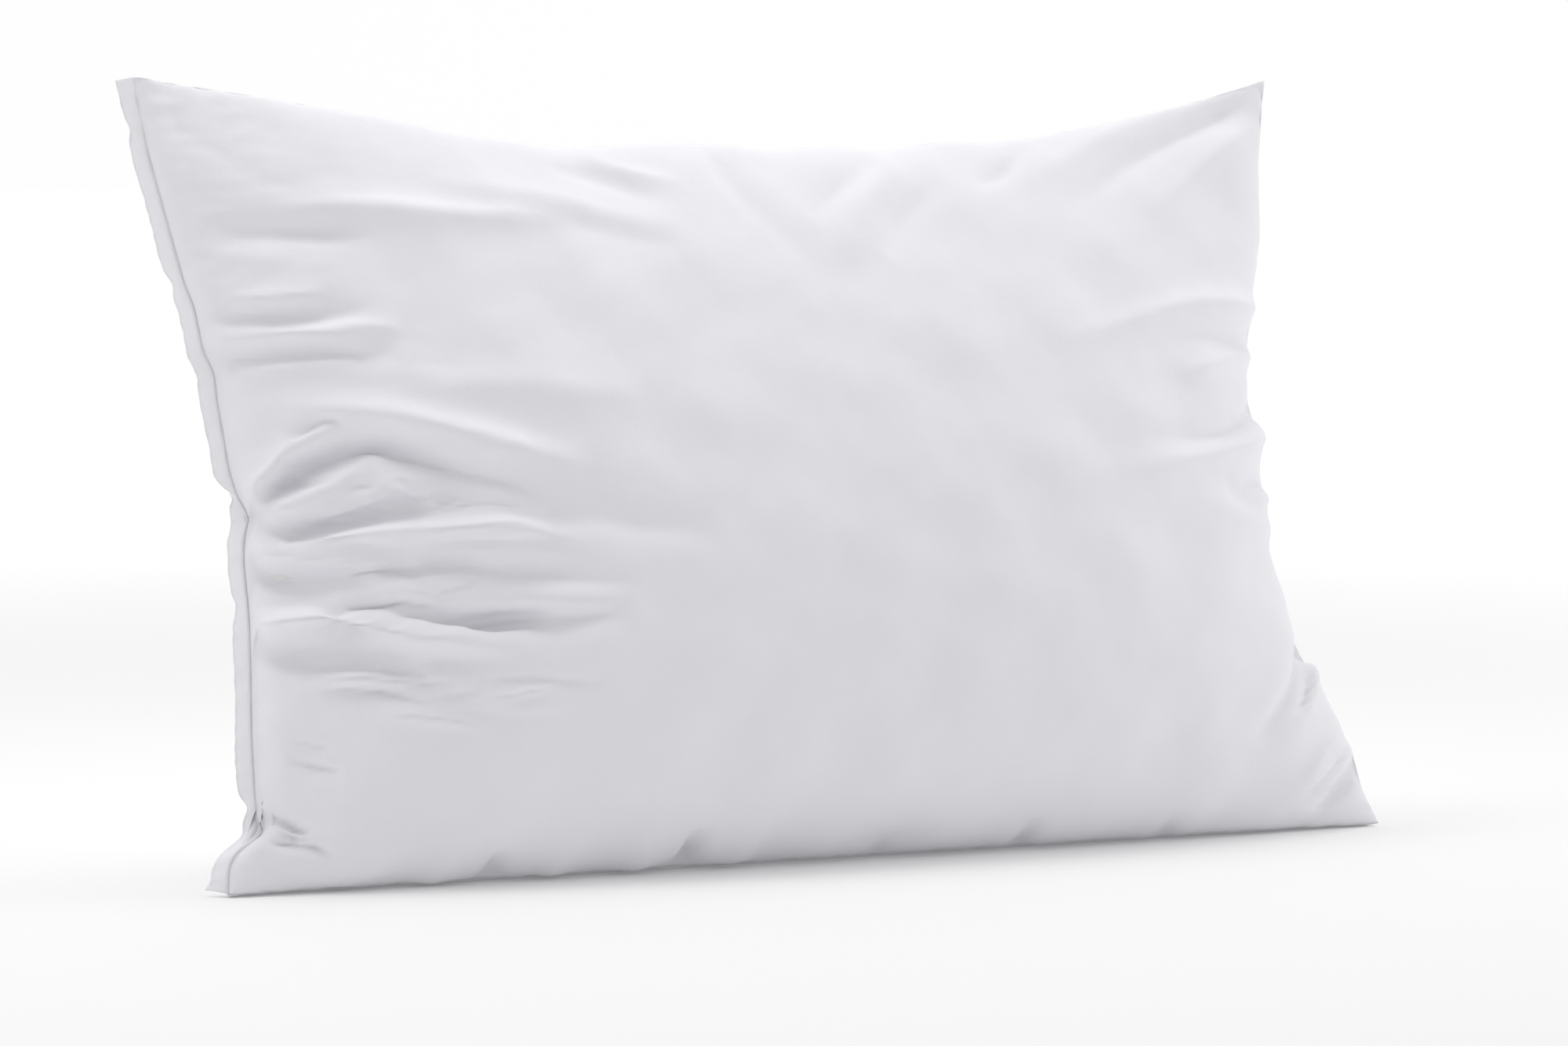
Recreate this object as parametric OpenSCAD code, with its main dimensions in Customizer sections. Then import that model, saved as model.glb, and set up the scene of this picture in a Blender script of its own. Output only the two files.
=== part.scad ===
// Bed pillow, stuffed, standing on its long edge and leaning back on the foot that the
// filling has slumped into. Two ticking panels are overlocked together round the bottom,
// the right end and the top, and the left end is closed with a lockstitched seam.
// X runs along the pillow, Y from front to back and Z up. The base is at Z = 0.

/* [Pillow] */
// Distance between the corner tips, end to end
length = 724; // [500:1:900]
// Distance between the bottom and top corner tips, along the lean
height = 446; // [350:1:600]
// Fullness of the front panel, from the plane of the seams
front_depth = 84; // [50:1:120]
// Fullness of the back panel, from the plane of the seams
back_depth = 112; // [60:1:130]
// Angle by which the pillow leans back from upright
lean = 16.5; // [8:0.5:22]

/* [Outline] */
// How far the two ends pull in between their corners
end_dip = 35; // [0:1:60]
// How far the top edge sinks between its corners
top_dip = 38; // [0:1:60]
// Height of the bottom seam above the floor
seam_lift = 1.5; // [1.5:0.5:6]

/* [Casing] */
// Thickness of the ticking
ticking = 0.6; // [0.4:0.1:1]
// Width of the seam allowances inside the casing
allowance = 9; // [6:1:9]
// Width of the closed hem outside its stitching, at the left end
hem = 9; // [5:1:12]
// Width of the rolled lip along the overlocked seams
lip = 0.8; // [0.6:0.1:2]

/* [Stitching] */
// Thickness of the sewing threads
thread = 0.6; // [0.4:0.1:1]
// Length of one stitch of the closing seam
stitch = 5; // [4:0.5:8]
// Spacing of the overlock loops
loop_pitch = 24; // [20:1:40]

/* [Hidden] */

FRONT = 1;
BACK = -1;
COLS = 30;                 // cells of a panel along its length
ROWS = 20;                 // cells of a panel up its height
ply_gap = 0.05;            // from the seam plane to each ply
fill_gap = 0.3;            // from the ticking to the filling
slot_depth = allowance + 1.2;
slot_half = ply_gap + ticking + thread + 0.4;
needle_inset = 3;          // overlock needle line, from the seam
edge_inset = allowance - 0.6;
thread_lift = ply_gap + ticking + thread / 2 + 0.05;

// Shape exponents: how sharply each panel rises from its seams
end_reach = 2.6;
end_rise = 0.6;
front_rise = 0.45;
front_taper = 0.72;
back_rise = 0.2;
back_taper = 0.8;
dip_reach = 2.6;

// Directions of the leaning seam plane
up = [0, sin(lean), cos(lean)];
out = [0, -cos(lean), sin(lean)];

function flatten(rows) = [for (row = rows) for (p = row) p];
function spread(i, n) = let (t = 2 * i / n - 1) 0.45 * t + 0.55 * sin(90 * t);

// Fullness along the length, 0 at the ends (s = -1 and 1)
function end_profile(s) = pow(max(0, 1 - pow(abs(s), end_reach)), end_rise);

// Fullness up the height, 0 at the seams and 1 at its fullest (q from 0 to 1)
function rise_profile(q, rise, taper) =
    let (peak = rise / (rise + taper))
    pow(q, rise) * pow(1 - q, taper) / (pow(peak, rise) * pow(1 - peak, taper));

function fullness(side, s, t) = let (q = (t + 1) / 2)
    end_profile(s) * (side == FRONT
        ? front_depth * rise_profile(q, front_rise, front_taper)
        : back_depth * rise_profile(q, back_rise, back_taper));

// Where a point of the outline net lies in the seam plane: along and up
function in_plane(s, t) =
    let (
        left = -length / 2 + hem,
        right = length / 2 - lip,
        pull = end_dip * (1 - t * t) * s * s * sign(s),
        along = (left + right) / 2 + s * (right - left) / 2 - pull,
        top = height - lip - top_dip * (1 - pow(abs(s), dip_reach)),
        bottom = seam_lift / cos(lean) + lip
    )
    [along, bottom + (t + 1) / 2 * (top - bottom)];

// Inward direction in the seam plane, for a point on the border of the net
function inward(s, t) =
    let (
        a = abs(s) > 0.999 ? -sign(s) : 0,
        b = abs(t) > 0.999 ? -sign(t) : 0
    )
    [a, b];

function place(plane, lift) = plane[0] * [1, 0, 0] + plane[1] * up + lift * out;
function centred(p) = p - [0, y_centre, 0];
function floored(p, lowest) = [p[0], p[1] - y_centre, max(p[2], lowest)];

// A point of the skin of one side, moved inside it by inset and kept above a lowest height
function skin(side, s, t, inset, least, lowest) =
    let (
        p = in_plane(s, t),
        d = inward(s, t),
        lift = max(fullness(side, s, t) + ply_gap + ticking - inset, least)
    )
    floored(place(p + inset * d, side * lift), lowest);

// A point on the border, moved inwards in the seam plane
function rim(s, t, inset, lift) =
    centred(place(in_plane(s, t) + inset * inward(s, t), lift));

// A point on the outer edge of the flat border
function edge(s, t, lift) =
    let (d = inward(s, t), width = d[0] > 0 ? hem : lip)
    centred(place(in_plane(s, t) - [width * d[0], lip * d[1]], lift));

// The border of the net, once round: bottom, right end, top, left end
border_net = concat(
    [for (i = [0:COLS - 1]) [i, 0]],
    [for (j = [0:ROWS - 1]) [COLS, j]],
    [for (i = [COLS:-1:1]) [i, ROWS]],
    [for (j = [ROWS:-1:1]) [0, j]]
);
AROUND = len(border_net);
function s_of(i) = spread(i, COLS);
function t_of(j) = spread(j, ROWS);

// The middle of the depth of the whole pillow, so that the frame is centred on it
raw_depths = [for (side = [FRONT, BACK]) for (j = [0:ROWS]) for (i = [0:COLS])
    place(in_plane(s_of(i), t_of(j)), side * (fullness(side, s_of(i), t_of(j)) + ply_gap + ticking))[1]];
y_centre = (min(raw_depths) + max(raw_depths)) / 2;

function net(side, inset, least, lowest) =
    [for (j = [0:ROWS]) for (i = [0:COLS])
        skin(side, s_of(i), t_of(j), inset, least, lowest)];
function net_index(i, j) = j * (COLS + 1) + i;
function net_faces(first, flip) = flatten([for (j = [0:ROWS - 1]) for (i = [0:COLS - 1])
    let (
        a = first + net_index(i, j),
        b = first + net_index(i + 1, j),
        c = first + net_index(i + 1, j + 1),
        d = first + net_index(i, j + 1)
    )
    flip ? [[a, b, c], [a, c, d]] : [[a, c, b], [a, d, c]]]);

// A band of triangles between two rings of point numbers
function band(ring_a, ring_b, flip) = flatten([for (k = [0:AROUND - 1])
    let (
        n = (k + 1) % AROUND,
        a = ring_a[k],
        b = ring_a[n],
        c = ring_b[n],
        d = ring_b[k]
    )
    flip ? [[a, b, c], [a, c, d]] : [[a, c, b], [a, d, c]]]);
function net_ring(first) = [for (p = border_net) first + net_index(p[0], p[1])];
function run_ring(first) = [for (k = [0:AROUND - 1]) first + k];

// One ticking panel: outer skin, flat border, allowance turned inside, inner skin
module panel(side) {
    inner_lift = ply_gap + ticking;
    outer = net(side, 0, inner_lift, -height);
    inner = net(side, ticking, inner_lift, ticking);
    edge_out = [for (p = border_net) edge(s_of(p[0]), t_of(p[1]), side * inner_lift)];
    edge_in = [for (p = border_net) edge(s_of(p[0]), t_of(p[1]), side * ply_gap)];
    raw_in = [for (p = border_net) rim(s_of(p[0]), t_of(p[1]), allowance, side * ply_gap)];
    raw_out = [for (p = border_net) rim(s_of(p[0]), t_of(p[1]), allowance, side * inner_lift)];
    cells = len(outer);
    rings = [for (k = [0:3]) run_ring(2 * cells + k * AROUND)];
    flip = side == FRONT;
    polyhedron(
        points = concat(outer, inner, edge_out, edge_in, raw_in, raw_out),
        faces = concat(
            net_faces(0, !flip),
            band(net_ring(0), rings[0], flip),
            band(rings[0], rings[1], flip),
            band(rings[1], rings[2], flip),
            band(rings[2], rings[3], flip),
            band(rings[3], net_ring(cells), flip),
            net_faces(cells, flip)
        ),
        convexity = 6
    );
}

// A square-sided thread swept along a path
module sewn(path, size) {
    sides = 4;
    n = len(path);
    function heading(k) =
        let (v = path[min(k + 1, n - 1)] - path[max(k - 1, 0)]) v / norm(v);
    function ring(k) =
        let (
            h = heading(k),
            a0 = cross(h, out),
            a = a0 / norm(a0),
            b = cross(a, h)
        )
        [for (m = [0:sides - 1])
            path[k] + size / 2 * (cos(90 * m + 45) * a + sin(90 * m + 45) * b)];
    points = flatten([for (k = [0:n - 1]) ring(k)]);
    walls = flatten([for (k = [0:n - 2]) for (m = [0:sides - 1])
        let (
            a = k * sides + m,
            b = k * sides + (m + 1) % sides,
            c = b + sides,
            d = a + sides
        )
        [[a, c, b], [a, d, c]]]);
    last = (n - 1) * sides;
    polyhedron(points, concat(walls, [[0, 1, 2], [0, 2, 3]],
        [[last, last + 2, last + 1], [last, last + 3, last + 2]]), convexity = 10);
}

// The overlocked sides as one open run: bottom, right end, top
overlocked = concat(
    [for (i = [1:COLS - 1]) [s_of(i), -1]],
    [for (j = [1:ROWS - 1]) [1, t_of(j)]],
    [for (i = [COLS - 1:-1:1]) [s_of(i), 1]]
);

function run_lengths(points, k = 0, total = 0, lengths = []) =
    k >= len(points) ? lengths
    : let (step = k == 0 ? 0 : norm(points[k] - points[k - 1]))
        run_lengths(points, k + 1, total + step, concat(lengths, [total + step]));

// The point of a polyline at a distance along it
function along_run(points, lengths, where, k = 1) =
    k >= len(points) - 1 || lengths[k] >= where
        ? let (f = (where - lengths[k - 1]) / (lengths[k] - lengths[k - 1]))
            points[k - 1] + min(1, f) * (points[k] - points[k - 1])
        : along_run(points, lengths, where, k + 1);

// One looper thread, waving between the needle line and the raw edge of its ply
module overlock_looper(side) {
    near = [for (p = overlocked) rim(p[0], p[1], needle_inset, side * thread_lift)];
    far = [for (p = overlocked) rim(p[0], p[1], edge_inset, side * thread_lift)];
    lengths = run_lengths(near);
    total = lengths[len(near) - 1];
    steps = 4 * floor(total / loop_pitch);
    path = [for (k = [0:steps])
        let (
            where = total * k / steps,
            a = along_run(near, lengths, where),
            b = along_run(far, lengths, where)
        )
        a + (b - a) * (0.5 - 0.5 * cos(90 * k))];
    sewn(path, thread);
}

// One thread of the lockstitch: along its face of the hem, dipping in at every stitch
module lockstitch(side) {
    seam_z = [for (j = [0:ROWS]) in_plane(-1, t_of(j))];
    lengths = run_lengths(seam_z);
    total = lengths[ROWS];
    count = floor((total - 2 * stitch) / stitch);
    inset = -hem * 0.35;
    surface = ply_gap + ticking + thread / 2 + 0.05;
    function station(where, lift) =
        let (p = along_run(seam_z, lengths, where))
        centred(place([p[0] + inset, p[1]], side * lift));
    path = flatten([for (k = [0:count - 1])
        let (start = stitch + k * stitch)
        [
            station(start, surface),
            station(start + stitch * 0.7, surface),
            station(start + stitch * 0.85, thread / 2 + 0.05)
        ]]);
    sewn(path, thread);
}

// What lies above the floor
module above_floor() {
    intersection() {
        children();
        translate([-length, -length, 0])
            cube(2 * length);
    }
}

module front_panel() {
    color("white") panel(FRONT);
}

// The weight of the pillow flattens this panel against the floor
module back_panel() {
    color("whitesmoke") above_floor() panel(BACK);
}

// Filling, with a slot all round that leaves room for the seam allowances
module fibre_fill() {
    inset = ticking + fill_gap;
    front = net(FRONT, inset, slot_half, inset);
    back = net(BACK, inset, slot_half, inset);
    slot_front = [for (p = border_net) rim(s_of(p[0]), t_of(p[1]), slot_depth, slot_half)];
    slot_back = [for (p = border_net) rim(s_of(p[0]), t_of(p[1]), slot_depth, -slot_half)];
    cells = len(front);
    front_ring = run_ring(2 * cells);
    back_ring = run_ring(2 * cells + AROUND);
    color("ivory") polyhedron(
        points = concat(front, back, slot_front, slot_back),
        faces = concat(
            net_faces(0, false),
            net_faces(cells, true),
            band(net_ring(0), front_ring, true),
            band(front_ring, back_ring, true),
            band(back_ring, net_ring(cells), true)
        ),
        convexity = 6
    );
}

module overlock_needle_thread() {
    line = [for (p = overlocked)
        rim(p[0], p[1], needle_inset - 1.2, thread_lift)];
    color("gainsboro") sewn(line, thread);
}

module overlock_upper_looper() {
    color("lightgray") overlock_looper(FRONT);
}

module overlock_lower_looper() {
    color("silver") overlock_looper(BACK);
}

module closing_needle_thread() {
    color("gainsboro") lockstitch(FRONT);
}

module closing_bobbin_thread() {
    color("lightgray") lockstitch(BACK);
}

front_panel();
back_panel();
fibre_fill();
overlock_needle_thread();
overlock_upper_looper();
overlock_lower_looper();
closing_needle_thread();
closing_bobbin_thread();
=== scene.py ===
"""Looks of a stuffed bed pillow that stands on its long edge and leans back.

The casing is two cotton panels sewn into one closed shell. The shell starts on the form that
the frame gives, and a cloth simulation then finds where the surplus of the flat-cut cloth
gathers into folds. It is parted along its seams into the two panels afterwards, and the
filling, the closed hem and the threads are made to fit it.
"""

import logging
import math
from dataclasses import dataclass, field
from enum import Enum

import bmesh
import bpy
import numpy as np
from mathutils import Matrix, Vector

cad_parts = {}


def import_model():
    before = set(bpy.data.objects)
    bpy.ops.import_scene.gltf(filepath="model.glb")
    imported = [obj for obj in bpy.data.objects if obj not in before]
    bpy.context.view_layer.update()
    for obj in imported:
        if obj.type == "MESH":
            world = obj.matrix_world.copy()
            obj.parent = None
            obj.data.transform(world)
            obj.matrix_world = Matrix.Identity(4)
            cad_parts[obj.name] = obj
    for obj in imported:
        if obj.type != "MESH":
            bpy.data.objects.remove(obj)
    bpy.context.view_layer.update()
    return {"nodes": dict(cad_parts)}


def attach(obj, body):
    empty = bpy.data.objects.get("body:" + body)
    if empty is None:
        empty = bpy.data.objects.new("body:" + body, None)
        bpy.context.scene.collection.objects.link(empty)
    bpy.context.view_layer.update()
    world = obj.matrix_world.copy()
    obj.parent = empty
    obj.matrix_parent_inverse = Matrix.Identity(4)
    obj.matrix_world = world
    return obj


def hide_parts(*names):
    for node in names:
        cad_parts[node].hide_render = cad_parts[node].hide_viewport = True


LOG = logging.getLogger("pillow")


class Side(Enum):
    """Which panel of the casing."""

    FRONT = 1
    BACK = -1


class Fade(Enum):
    """How a fold dies away along its path."""

    TIP = "strong where it leaves the seam, and gone at its tip"
    BOTH = "gone at both ends"


@dataclass(frozen=True)
class Stance:
    """How the seam plane of the pillow stands: its lean and the place of its bottom seam."""

    seam_y: float
    seam_z: float
    lean: float = math.radians(16.5)

    @property
    def out(self) -> np.ndarray:
        """The direction out of the seam plane, to the front."""
        return np.array([0, -math.cos(self.lean), math.sin(self.lean)])

    def place(self, along: np.ndarray, up: np.ndarray, lift: np.ndarray) -> np.ndarray:
        """Turns places in the seam plane into points of the frame.

        Args:
            along: Distances along the pillow.
            up: Distances up the leaning seam plane.
            lift: Distances out of the plane, positive to the front.

        Returns:
            An array of points, one row each.
        """
        y = self.seam_y + up * math.sin(self.lean) - lift * math.cos(self.lean)
        z = self.seam_z + up * math.cos(self.lean) + lift * math.sin(self.lean)
        return np.stack([along, y, z], -1)


@dataclass(frozen=True)
class Fullness:
    """How far one panel bulges from the seam plane."""

    depth: float
    rise: float
    taper: float
    end_reach: float = 2.6
    end_rise: float = 0.6
    left_rise: float = 0.6

    def lift(self, s: np.ndarray, t: np.ndarray) -> np.ndarray:
        """The bulge at net positions from -1 to 1 along and up the panel.

        Args:
            s: Positions along the panel.
            t: Positions up the panel.

        Returns:
            Distances from the seam plane.
        """
        q = np.clip((t + 1) / 2, 0, 1)
        peak = self.rise / (self.rise + self.taper)
        top = peak**self.rise * (1 - peak) ** self.taper
        rise = np.where(s < 0, self.left_rise, self.end_rise)
        ends = np.maximum(0, 1 - np.abs(s) ** self.end_reach) ** rise
        return self.depth * ends * q**self.rise * (1 - q) ** self.taper / top


def through(stations: tuple[tuple[float, float], ...], at: np.ndarray, soft: float) -> np.ndarray:
    """A soft line through stations.

    Args:
        stations: Pairs of a place from -1 to 1 and the value there, in order.
        at: The places that are asked for.
        soft: How far the corners of the line are rounded.

    Returns:
        The line's values.
    """
    places, values = np.array(stations).T
    fine = np.linspace(-1.4, 1.4, 1401)
    line = np.interp(fine, places, values)
    reach = np.arange(-3, 3, 0.002 / soft)
    kernel = np.exp(-(reach**2))
    line = np.convolve(line, kernel / kernel.sum(), "same")
    miss = np.interp([-1, 1], fine, line) - np.interp([-1, 1], places, values)
    for end, error in zip((-1, 1), miss):
        line = line - error * np.exp(-(((fine - end) / soft) ** 2))
    return np.interp(at, fine, line)


@dataclass(frozen=True)
class Outline:
    """The seam line in the leaning seam plane.

    The filling draws the seams in between the corners. Each pull is a pair of a place along
    that edge, from -1 to 1 (left to right, or bottom to top), and how far it is drawn in.
    """

    left: float
    right: float
    height: float
    end_dip: float = 0.035
    top_dip: float = 0.038
    dip_reach: float = 2.6
    left_pulls: tuple[tuple[float, float], ...] = (
        (-1.0, 0.0), (-0.965, 0.0008), (-0.93, 0.0024), (-0.905, 0.0060), (-0.885, 0.0130),
        (-0.862, 0.0240), (-0.82, 0.0205), (-0.65, 0.023),
        (-0.36, 0.030), (-0.20, 0.031), (-0.13, 0.0335), (-0.10, 0.0385), (-0.06, 0.0325),
        (0.01, 0.029), (0.20, 0.0265), (0.27, 0.027), (0.30, 0.0225), (0.43, 0.0200),
        (0.47, 0.0165), (0.81, 0.004), (1.0, 0.0),
    )
    right_pulls: tuple[tuple[float, float], ...] = (
        (-1.0, 0.0), (-0.91, 0.0074), (-0.83, 0.0100), (-0.71, 0.0180), (-0.60, 0.0290),
        (-0.55, 0.0390), (-0.40, 0.0430), (-0.27, 0.0500), (-0.16, 0.0460), (0.06, 0.0420),
        (0.13, 0.0460), (0.20, 0.0440), (0.39, 0.0320), (0.57, 0.0190), (0.77, 0.0125), (1.0, 0.0),
    )
    top_pulls: tuple[tuple[float, float], ...] = (
        (-1.0, 0.0), (-0.80, 0.0105), (-0.59, 0.0230), (-0.46, 0.0328), (-0.386, 0.0355),
        (-0.311, 0.0405), (-0.22, 0.0388), (-0.135, 0.0374), (-0.01, 0.0380), (0.058, 0.0422),
        (0.166, 0.0392), (0.2575, 0.0428), (0.367, 0.0366), (0.451, 0.0378), (0.551, 0.0342),
        (0.685, 0.0258), (0.84, 0.0145), (1.0, 0.0),
    )

    def plane(self, s: np.ndarray, t: np.ndarray) -> tuple[np.ndarray, np.ndarray]:
        """Places of net positions in the seam plane.

        Args:
            s: Positions along the panel, from -1 to 1.
            t: Positions up the panel, from -1 to 1.

        Returns:
            Distances along the pillow and up the plane.
        """
        middle = (self.left + self.right) / 2
        half = (self.right - self.left) / 2
        even = self.end_dip * (1 - t * t)
        left = np.where(s < 0, even * s * s, 0)
        right = np.where(s > 0, even * s * s, 0)
        near = np.abs(s) ** 9
        left += np.where(s < 0, near, 0) * (through(self.left_pulls, t, 0.022) - even)
        right += np.where(s > 0, near, 0) * (through(self.right_pulls, t, 0.022) - even)
        even = self.top_dip * (1 - np.abs(s) ** self.dip_reach)
        q = (t + 1) / 2
        top = q * (self.height - even)
        top -= q**8 * (through(self.top_pulls, s, 0.022) - even)
        return middle + s * half + left - right, top


@dataclass(frozen=True)
class Fold:
    """A ridge, or with a negative height a furrow, along a path on a panel.

    The path's points are places along X and heights above the floor, in metres.
    """

    path: tuple[tuple[float, float], ...]
    height: float
    width: float
    fade: Fade = Fade.TIP
    crisp: float = 0.35

    def lift(self, x: np.ndarray, z: np.ndarray) -> np.ndarray:
        """The height of the fold over points of the panel.

        Args:
            x: Places along the pillow.
            z: Heights above the floor.

        Returns:
            How far each point is lifted.
        """
        points = np.array(self.path)
        if len(points) > 2:
            at = np.linspace(0, len(points) - 1, 6 * (len(points) - 1) + 1)
            points = resample(points[:, None, :], at)[:, 0]
        steps = np.linalg.norm(np.diff(points, axis=0), axis=1)
        total = steps.sum()
        nearest = np.full(x.shape, np.inf)
        share = np.zeros(x.shape)
        done = 0.0
        for a, b, step in zip(points[:-1], points[1:], steps):
            way = (b - a) / step
            t = np.clip((x - a[0]) * way[0] + (z - a[1]) * way[1], 0, step)
            away = np.hypot(x - a[0] - t * way[0], z - a[1] - t * way[1])
            closer = away < nearest
            nearest = np.where(closer, away, nearest)
            share = np.where(closer, (done + t) / total, share)
            done += step
        if self.fade is Fade.BOTH:
            strength = np.sin(np.pi * np.clip(share, 0, 1)) ** 0.7
        else:
            strength = (1 - share**1.8) * np.clip(0.35 + share * 5, 0, 1)
        away = nearest / self.width
        profile = (1 - self.crisp) * np.exp(-(away**2)) + self.crisp * np.exp(-((away * 2.2) ** 2))
        return self.height * strength * profile


def fold(
    path: list[tuple[float, float]],
    height: float,
    width: float,
    fade: Fade = Fade.TIP,
    crisp: float = 0.35,
) -> Fold:
    """A fold whose measures are given in millimetres.

    Args:
        path: Places along X and heights above the floor.
        height: Its height, negative for a furrow.
        width: Its half width.
        fade: How it dies away.
        crisp: The share of its height that is in a narrow crest.

    Returns:
        The fold, in metres.
    """
    metres = tuple((x / 1000, z / 1000) for x, z in path)
    return Fold(metres, height / 1000, width / 1000, fade, crisp)


def left_end_folds() -> list[Fold]:
    """Folds that fan out from the gathered closing seam, at the left end."""
    both = Fade.BOTH
    return [
        fold(
            [(-334, 186), (-316, 208), (-303, 223), (-290, 234), (-270, 243)],
            17, 7.5, crisp=0.6,
        ),
        fold(
            [(-298, 254), (-263, 250), (-231, 242), (-200, 234), (-150, 220)],
            8.5, 10, both, 0.15,
        ),
        fold([(-318, 200), (-290, 224), (-262, 231), (-235, 226), (-165, 205)], -19, 8.8),
        fold([(-312, 186), (-262, 198), (-229, 203), (-150, 192)], -10, 8),
        fold([(-334, 166), (-304, 163), (-262, 169), (-210, 172)], -14.5, 10),
        fold([(-326, 181), (-277, 186), (-223, 189), (-150, 184)], 8.5, 6),
        fold([(-262, 147), (-225, 143), (-185, 142), (-135, 146)], -10.5, 10, both),
        fold([(-330, 137), (-293, 141), (-250, 132), (-180, 127)], 10, 6.5),
        fold([(-326, 124), (-280, 126), (-250, 123), (-194, 118)], -8.5, 7.5),
        fold([(-290, 357), (-247, 358), (-200, 353), (-120, 350)], 5.5, 10, both),
        fold([(-325, 345), (-284, 346), (-235, 346)], -7, 10, both),
        fold([(-334, 294), (-305, 300), (-250, 303)], -5.5, 7.5, both),
        fold([(-334, 289), (-300, 290), (-235, 295)], 5.5, 6, both),
        fold([(-336, 276), (-300, 280), (-240, 280)], -6.5, 6.5, both),
        fold([(-250, 264), (-190, 264), (-110, 256)], 4, 18, both),
        fold([(-200, 206), (-150, 196), (-80, 184)], -5.2, 14, both),
    ]


def left_end_creases() -> list[Fold]:
    """Small sharp creases among the folds of the left end."""
    both = Fade.BOTH
    return [
        fold([(-318, 188), (-285, 209), (-261, 221), (-240, 228)], 6.8, 4.5),
        fold([(-318, 180), (-276, 194), (-229, 204), (-178, 197)], -5.4, 5),
        fold([(-294, 160), (-274, 164), (-256, 157), (-236, 153)], 2.6, 6, both),
        fold([(-332, 150), (-308, 153), (-286, 154)], 4.1, 3.6),
        fold([(-296, 145), (-276, 150), (-255, 150), (-232, 146)], -7.4, 3.4, both),
        fold([(-266, 144), (-225, 141), (-180, 141)], -4.1, 4.5, both),
        fold([(-296, 141), (-280, 133), (-266, 138)], -4.1, 3, both),
        fold([(-314, 118), (-278, 120), (-244, 115)], -5.4, 4.8, both),
        fold([(-312, 111), (-282, 112), (-250, 110)], 4.3, 4.5, both),
        fold([(-298, 107), (-271, 105), (-246, 98)], -4.9, 3.8, both),
        fold([(-318, 70), (-292, 64)], -4.3, 5, both),
        fold([(-318, 80), (-296, 76)], -3, 4, both),
        fold([(-300, 234), (-291, 241), (-281, 246), (-272, 243)], -4.1, 3, both),
        fold([(-330, 176), (-310, 177), (-288, 176)], 3.5, 4, both),
        fold([(-272, 206), (-250, 213), (-228, 214)], 3.8, 4.5, both),
        fold([(-240, 170), (-200, 172), (-150, 168)], -3.2, 6.5, both),
        fold([(-230, 148), (-190, 152), (-140, 150)], 3, 7.5, both),
        fold([(-318, 272), (-290, 273), (-258, 276)], 4.1, 4.8, both),
        fold([(-322, 309), (-300, 310), (-270, 312)], 4.1, 5.5, both),
        fold([(-343, 46), (-327, 39), (-309, 33)], -8.8, 4, both),
        fold([(-335, 30), (-314, 27), (-298, 20)], -6.8, 4.5, both),
        fold([(-345, 22), (-329, 33), (-310, 26)], 5.4, 4, both),
        fold([(-262, 226), (-240, 208), (-216, 199), (-173, 196)], 4.8, 4.2, both),
        fold([(-304, 139), (-290, 136), (-272, 129)], -4.6, 3.6, both),
        fold([(-287, 148), (-263, 143), (-230, 136), (-179, 133)], 4.6, 4.2, both),
        fold([(-309, 190), (-277, 199), (-252, 210)], 4.6, 4.2, both),
        fold([(-246, 188), (-214, 190), (-176, 188)], 4, 4.5, both),
        fold([(-262, 168), (-205, 167), (-130, 160)], -6.5, 8.5, both),
    ]


def crinkles(count: int, seed: int) -> list[Fold]:
    """Many short fine creases where the gathered cloth of the left end is crumpled.

    Args:
        count: How many there are.
        seed: The seed of their places.

    Returns:
        The creases.
    """
    rng = np.random.default_rng(seed)
    folds = []
    for _ in range(count):
        x, z = rng.uniform(-0.330, -0.215), rng.normal(0.170, 0.040)
        length, turn = rng.uniform(0.03, 0.08), rng.normal(0, 0.16)
        bend = rng.normal(0, 0.05)
        middle = (x + length / 2 * math.cos(turn), z + length / 2 * math.sin(turn))
        end = (x + length * math.cos(turn + bend), z + length * math.sin(turn + bend))
        height = rng.choice([-1.0, 1.0]) * rng.uniform(0.0014, 0.0034)
        width = rng.uniform(0.0028, 0.0048)
        folds.append(Fold(((x, z), middle, end), height, width, Fade.BOTH, 0.2))
    return folds


def top_edge_folds() -> list[Fold]:
    """Shallow folds that hang from the top seam."""
    both = Fade.BOTH
    return [
        fold([(-200, 372), (-140, 362), (-60, 345)], 3.5, 12, both),
        fold([(-160, 352), (-110, 346), (-60, 334)], -2.2, 10, both),
        fold([(-125, 378), (-90, 372), (-60, 360)], -2.2, 7, both),
        fold([(-100, 384), (-75, 376), (-45, 368)], 2.5, 6, both),
        fold([(-20, 384), (-4, 352), (24, 316)], -2.8, 14),
        fold([(100, 382), (60, 356), (24, 318)], 4.2, 12),
        fold([(85, 384), (50, 366), (24, 350)], -3.6, 9, both),
        fold([(120, 372), (85, 350), (65, 330)], -3.5, 10, both),
        fold([(345, 414), (270, 388), (190, 352)], -6.5, 10),
        fold([(330, 424), (250, 398), (170, 368)], 5, 9),
        fold([(340, 400), (290, 372), (240, 350)], 4, 10),
        fold([(190, 392), (165, 376), (140, 368)], -3, 6, both),
        fold([(-340, 405), (-290, 372), (-240, 356)], -1.4, 12),
    ]


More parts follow.
